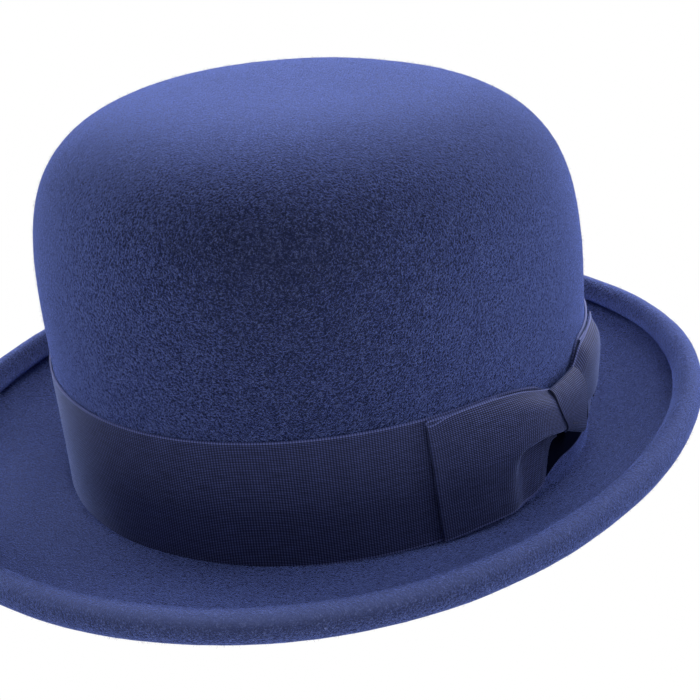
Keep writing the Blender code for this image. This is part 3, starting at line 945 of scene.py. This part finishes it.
def tape_section():
    """Height and depth from the tape's inner edge, round under the reed, to its outer edge."""
    half = SWEAT_THICKNESS / 2 + GAP
    wrap = REED_RADIUS + GAP
    path = [(TAPE_RISE, half), (TAPE_RISE / 2, half + 0.05 * MM), (0.0, half)]
    for turn in np.linspace(0.0, pi, 15):
        path.append((REED_HEIGHT - wrap * sin(turn), wrap * cos(turn)))
    path += [(0.0, -half), (TAPE_HIGH_OUTSIDE, -half)]
    return path


def make_reed_tape(finish):
    angles = np.arange(CLOTH_SEGMENTS) * 2 * pi / CLOTH_SEGMENTS
    section = tape_section()
    grid = np.array([wall_point(angles, np.full_like(angles, height),
                                np.full_like(angles, -(SWEAT_MIDDLE + inset + TAPE_THICKNESS / 2)))
                     for height, inset in section])
    rise = arc_length(np.array(section))
    uv = cloth_uv(arc_length(grid[0]), rise)
    item = strip("tape_ribbon", grid, TAPE_THICKNESS, uv, wraps=True)
    return dress(item, finish, "navy_grosgrain", "reed_tape")


def tube(name, path, radius, sides):
    """Round cord along a closed loop of points."""
    path = np.asarray(path)
    along = np.roll(path, -1, axis=0) - np.roll(path, 1, axis=0)
    along /= np.linalg.norm(along, axis=-1, keepdims=True)
    up = np.array([0.0, 0.0, 1.0])
    out = np.cross(along, up)
    out /= np.linalg.norm(out, axis=-1, keepdims=True)
    over = np.cross(out, along)
    turns = np.arange(sides) * 2 * pi / sides
    rings = np.array([path + out * radius * cos(t) + over * radius * sin(t) for t in turns])
    rings = np.concatenate([rings, rings[:1]])
    count = path.shape[0]
    points = rings[:-1].reshape(-1, 3)
    faces = []
    for face in grid_faces(sides + 1, count, True):
        faces.append(tuple(v % (sides * count) for v in face))
    uv = np.zeros((sides, count, 2))
    uv[..., 0] = arc_length(path)[None, :]
    uv[..., 1] = np.arange(sides)[:, None] * 2 * pi * radius / sides
    return mesh_from(name, points, faces, uv.reshape(-1, 2), smooth_angle=80)


def stitches(name, finish, slot, places, length, radius):
    """Short thread stitches. Each place is a middle point, a direction and an outward direction."""
    turns = np.arange(THREAD_SIDES) * 2 * pi / THREAD_SIDES
    stations = np.linspace(-1.0, 1.0, 7)
    points, faces = [], []
    for middle, along, out in places:
        side = np.cross(along, out)
        first = len(points)
        for k in stations:
            thick = radius * max(0.35, (1 - abs(k) ** 3))
            centre = middle + along * length / 2 * k + out * radius * (1.2 * (1 - k * k) - 0.5)
            points += [centre + (side * cos(t) + out * sin(t)) * thick for t in turns]
        for r in range(len(stations) - 1):
            low = first + r * THREAD_SIDES
            high = low + THREAD_SIDES
            for c in range(THREAD_SIDES):
                d = (c + 1) % THREAD_SIDES
                faces.append((low + c, high + c, high + d, low + d))
        last = first + (len(stations) - 1) * THREAD_SIDES
        faces.append(tuple(first + c for c in range(THREAD_SIDES)))
        faces.append(tuple(last + c for c in reversed(range(THREAD_SIDES))))
    item = mesh_from(name, np.array(points), faces, smooth_angle=80)
    return dress(item, finish, slot)


def round_places(height, offset, pitch):
    """Evenly spaced places for stitches that run round the inside of the crown's wall."""
    sweep = np.linspace(0.0, 2 * pi, 2000)
    row = wall_point(sweep, np.full_like(sweep, height), np.full_like(sweep, offset))
    reached = arc_length(row)
    places = []
    for at in np.arange(pitch / 2, reached[-1] - pitch / 2, pitch):
        angle = np.interp(at, reached, sweep)
        here = wall_point(np.array(angle), height, offset)
        ahead = wall_point(np.array(angle + 0.001), height, offset)
        along = (ahead - here) / np.linalg.norm(ahead - here)
        places.append((here, along, -plan_normal(np.array(angle))))
    return places


def make_lining(satin):
    """Gathered satin side wall and a flat oval tip, with piping over the seam between them."""
    angles = np.arange(CLOTH_SEGMENTS) * 2 * pi / CLOTH_SEGMENTS

    def inside(station, depth):
        face = crown_face(angles, station)
        onward = crown_face(angles, station + 0.01) - crown_face(angles, station - 0.01)
        across = np.roll(face, -1, axis=0) - np.roll(face, 1, axis=0)
        inward = -np.cross(across, onward)
        inward /= np.linalg.norm(inward, axis=-1, keepdims=True)
        return face + inward * np.expand_dims(depth, -1)

    rows = []
    stations = np.concatenate([np.linspace(0.30, 1.0, 14), np.linspace(1.05, SEAM_STATION - 0.03, 22)])
    for station in stations:
        height = (station - stations[0]) / (stations[-1] - stations[0])
        gather = (0.5 + 0.5 * np.sin(64 * angles + 2.0 * np.sin(5 * angles))) * 0.8 * height ** 2
        slack = 0.5 + 0.5 * np.sin(7 * angles + 4.0 * height)
        rows.append(inside(station, LINING_DEPTH + (gather + 0.5 * slack * np.sin(pi * height)) * MM))
    grid = np.array(rows)
    uv = cloth_uv(arc_length(grid[10]), arc_length(grid[:, 0]))
    side = strip("satin_side", grid, LINING, uv, wraps=True)
    dress(side, satin, "navy_satin", "lining_side")

    tip_stations = np.linspace(SEAM_STATION + 0.03, 1.97, 20)
    grid = np.array([inside(s, LINING_DEPTH + 0.35 * MM * (0.5 + 0.5 * np.sin(3 * angles + 8 * s)))
                     for s in tip_stations])
    tip = disc("satin_tip", grid, LINING)
    dress(tip, satin, "navy_satin", "lining_tip")
    cord = inside(SEAM_STATION, np.full_like(angles, LINING_DEPTH + LINING + 1.2 * MM))
    piping = tube("satin_piping", cord, 0.85 * MM, 10)
    dress(piping, satin, "navy_satin", "lining_piping")


def disc(name, grid, thickness):
    """Closed cap of cloth from rings of points that shrink towards a pole."""
    normal = grid_normals(grid, True)
    if normal[0, 0, 2] < 0:
        normal = -normal
    rings, columns = grid.shape[:2]
    upper, lower = grid + normal * thickness / 2, grid - normal * thickness / 2
    poles = [upper[-1].mean(axis=0), lower[-1].mean(axis=0)]
    points = np.concatenate([upper.reshape(-1, 3), lower.reshape(-1, 3), poles])
    count = rings * columns
    faces = grid_faces(rings, columns, True)
    faces += [tuple(count + v for v in reversed(face)) for face in grid_faces(rings, columns, True)]
    last = (rings - 1) * columns
    for c in range(columns):
        d = (c + 1) % columns
        faces.append((d, c, count + c, count + d))
        faces.append((last + c, last + d, 2 * count))
        faces.append((count + last + d, count + last + c, 2 * count + 1))
    return mesh_from(name, points, faces, points[:, :2])


def behind(across, height, lift):
    """Point on the inside at the back: across to the wearer's left, height, and lift towards the head."""
    angle = pi / 2 - np.asarray(across) / CROWN_HALF_WIDTH
    return wall_point(angle, height, -(SWEAT_MIDDLE + SWEAT_THICKNESS / 2 + lift))


def make_tie(finish):
    """Small ribbon bow over the sweatband's join: two open loops, two tails and a knot."""
    middle = (TIE_LOW.z + TIE_HIGH.z) / 2
    reach = (TIE_HIGH.x - TIE_LOW.x) / 2
    width = TIE_HIGH.z - TIE_LOW.z
    turn = np.linspace(-pi, pi, 97)
    across = np.sin(turn)
    puff = 1.0 + 1.1 * np.sin(np.abs(turn) / 2) ** 2 + 0.9 * np.cos(turn / 2) ** 2 * np.abs(across)
    narrow = 0.45 + 0.55 * np.abs(across) ** 1.2
    rows = [behind(reach * across, middle + share * width * narrow, puff * MM)
            for share in np.linspace(-0.5, 0.5, 9)]
    grid = np.array(rows)
    uv = cloth_uv(arc_length(middle_row(grid)), np.linspace(0.0, width, 9))
    dress(strip("tie_ribbon", grid, 0.4 * MM, uv), finish, "navy_grosgrain", "tie_loops")
    turn = np.linspace(0.0, 2 * pi, 33)[:-1]
    half = (TIE_KNOT_HIGH.z - TIE_KNOT_LOW.z) / 2
    rows = []
    for share in np.linspace(-1.0, 1.0, 9):
        height = middle + half * 1.1 * np.cos(turn)
        lift = (1.9 + (1.3 + 0.3 * (1 - share * share)) * np.sin(turn)) * MM
        rows.append(behind(np.full_like(turn, half * 0.9 * share), height, lift))
    grid = np.array(rows)
    uv = cloth_uv(arc_length(middle_row(grid)), np.linspace(0.0, 2 * half, 9))
    dress(strip("tie_band", grid, 0.4 * MM, uv, wraps=True), finish, "navy_grosgrain", "tie_knot")


def make_label(finish):
    """Blank woven label that stands up from behind the sweatband."""
    middle = (LABEL_LOW + LABEL_HIGH) / 2
    angle = np.arctan2(middle.y + CROWN_LEAN * middle.z, middle.x)
    spread = np.linspace(-0.10, 0.10, 24)
    heights = np.linspace(LABEL_LOW.z, LABEL_HIGH.z, 16)
    rows = []
    for height in heights:
        share = (height - heights[0]) / (heights[-1] - heights[0])
        depth = LINING_DEPTH + 1.5 * MM + 1.2 * MM * share ** 1.5
        rows.append(wall_point(angle + spread, np.full_like(spread, height), np.full_like(spread, -depth)))
    grid = np.array(rows)
    uv = cloth_uv(arc_length(middle_row(grid)), heights - heights[0])
    dress(strip("woven_label", grid, 0.3 * MM, uv), finish, "label_cloth", "size_label")


def make_inside(ribbon, thread):
    satin = satin_material()
    cloth = woven_material("sweatband_cloth", SWEAT_CLOTH_DARK, SWEAT_CLOTH_LIGHT, 0.7 * MM, 0.6, 0.3)
    label = woven_material("label_cloth", LABEL_DARK, LABEL_LIGHT, 0.5 * MM, 0.8, 0.1)
    make_lining(satin)
    make_sweatband(cloth)
    make_reed_tape(ribbon)
    make_tie(ribbon)
    make_label(label)
    seam = -(SWEAT_MIDDLE + SWEAT_THICKNESS / 2 + GAP + TAPE_THICKNESS)
    places = round_places(TAPE_RISE - 1.2 * MM, seam, STITCH_PITCH)
    stitches("tape_stitches", thread, "navy_grosgrain", places, 2.1 * MM, 0.22 * MM)
    reed = bpy.data.objects["sweatband_reed"]
    reed.data.materials[0] = reed_material()


# ---- stage, light and camera

# Each light has a name, a place in metres and a power in watts.
LIGHTS = (("behind", (-0.30, 0.98, 0.80), 27.0),
          ("left", (-1.0, 0.10, 0.62), 14.0),
          ("right", (0.75, 0.90, 0.70), 11.0))
LIGHT_SIZE = 0.8
LIGHT_TARGET = (0.0, 0.0, 0.06)

CAMERA_AZIMUTH = 39.96
CAMERA_ELEVATION = 23.741
CAMERA_ROLL = -2.129
CAMERA_DISTANCE = 550.31        # millimetres
CAMERA_LENS = 78.86
AIM_HEIGHT = 0.055
AIM_RIGHT, AIM_DOWN = 8.908, 21.068     # millimetres in the picture's own directions

def make_stage():
    bpy.ops.mesh.primitive_plane_add(size=8.0, location=(0.0, 0.0, CAD_BOX[0].z - 0.5 * MM))
    floor = bpy.context.object
    floor.name = "floor"
    finish, tree, _ = new_material("white_floor")
    glow = node(tree, "Emission")
    seen = tree.nodes.new("ShaderNodeLightPath").outputs["Is Camera Ray"]
    strength = remap(tree, seen, 0.0, 1.0, 1.4, 1.0)
    tree.links.new(strength, glow.inputs["Strength"])
    below = tree.nodes.new("ShaderNodeNewGeometry").outputs["Backfacing"]
    either = node(tree, "MixShader")
    tree.links.new(below, either.inputs[0])
    tree.links.new(glow.outputs[0], either.inputs[1])
    tree.links.new(node(tree, "BsdfTransparent").outputs[0], either.inputs[2])
    tree.links.new(either.outputs[0], tree.nodes["Material Output"].inputs["Surface"])
    floor.data.materials.append(finish)


def make_world():
    world = bpy.data.worlds.new("studio")
    bpy.context.scene.world = world
    world.use_nodes = True
    tree = world.node_tree
    glow = tree.nodes["Background"]
    seen = tree.nodes.new("ShaderNodeLightPath").outputs["Is Camera Ray"]
    tree.links.new(remap(tree, seen, 0.0, 1.0, 0.48, 1.0), glow.inputs["Strength"])
    glow.inputs["Color"].default_value = (1.0, 1.0, 1.0, 1.0)


def softbox(name, place, power):
    light = bpy.data.lights.new(name, "AREA")
    light.shape = "SQUARE"
    light.size = LIGHT_SIZE
    light.energy = power
    item = bpy.data.objects.new(name, light)
    item.location = place
    item.rotation_euler = (Vector(LIGHT_TARGET) - Vector(place)).to_track_quat("-Z", "Y").to_euler()
    item.visible_camera = False
    bpy.context.scene.collection.objects.link(item)


def make_camera():
    """Three-quarter view from the front on the wearer's left, a little above the hat."""
    azimuth = radians(CAMERA_AZIMUTH)
    elevation = radians(CAMERA_ELEVATION)
    roll = radians(CAMERA_ROLL)
    back = Vector((sin(azimuth) * cos(elevation), -cos(azimuth) * cos(elevation), sin(elevation)))
    level = Vector((cos(azimuth), sin(azimuth), 0.0))
    rise = back.cross(level)
    right = level * cos(roll) + rise * sin(roll)
    up = rise * cos(roll) - level * sin(roll)
    aim = Vector((0.0, 0.0, AIM_HEIGHT)) + right * AIM_RIGHT * MM - up * AIM_DOWN * MM
    data = bpy.data.cameras.new("camera")
    data.sensor_width = 36.0
    data.lens = CAMERA_LENS
    data.clip_start = 0.01
    camera = bpy.data.objects.new("camera", data)
    bpy.context.scene.collection.objects.link(camera)
    turn = Matrix((right, up, back)).transposed()
    camera.matrix_world = Matrix.Translation(aim + back * CAMERA_DISTANCE * MM) @ turn.to_4x4()
    bpy.context.scene.camera = camera


def main():
    bpy.context.scene.view_settings.view_transform = "Standard"
    make_stage()
    make_world()
    for name, place, power in LIGHTS:
        softbox(name, place, power)
    make_camera()
    felt = make_felt()
    dress(felt, felt_material(), "navy_wool_felt", "felt_body")
    felt.data.materials.append(nap_material())
    grow_nap(felt)
    ribbon = grosgrain_material("navy_grosgrain", RIBBON_LIGHT, 0.75, 0.12)
    # the backing ribbon under the knot gets painted shade: a near-black colour with no sheen or gloss
    painted_shade_ribbon = grosgrain_material("navy_grosgrain_painted_shade", RIBBON_PAINTED_SHADE, 0.0, 0.0)
    thread = thread_material()
    make_hatband(ribbon)
    make_bow(ribbon, painted_shade_ribbon, thread)
    make_inside(ribbon, thread)


main()
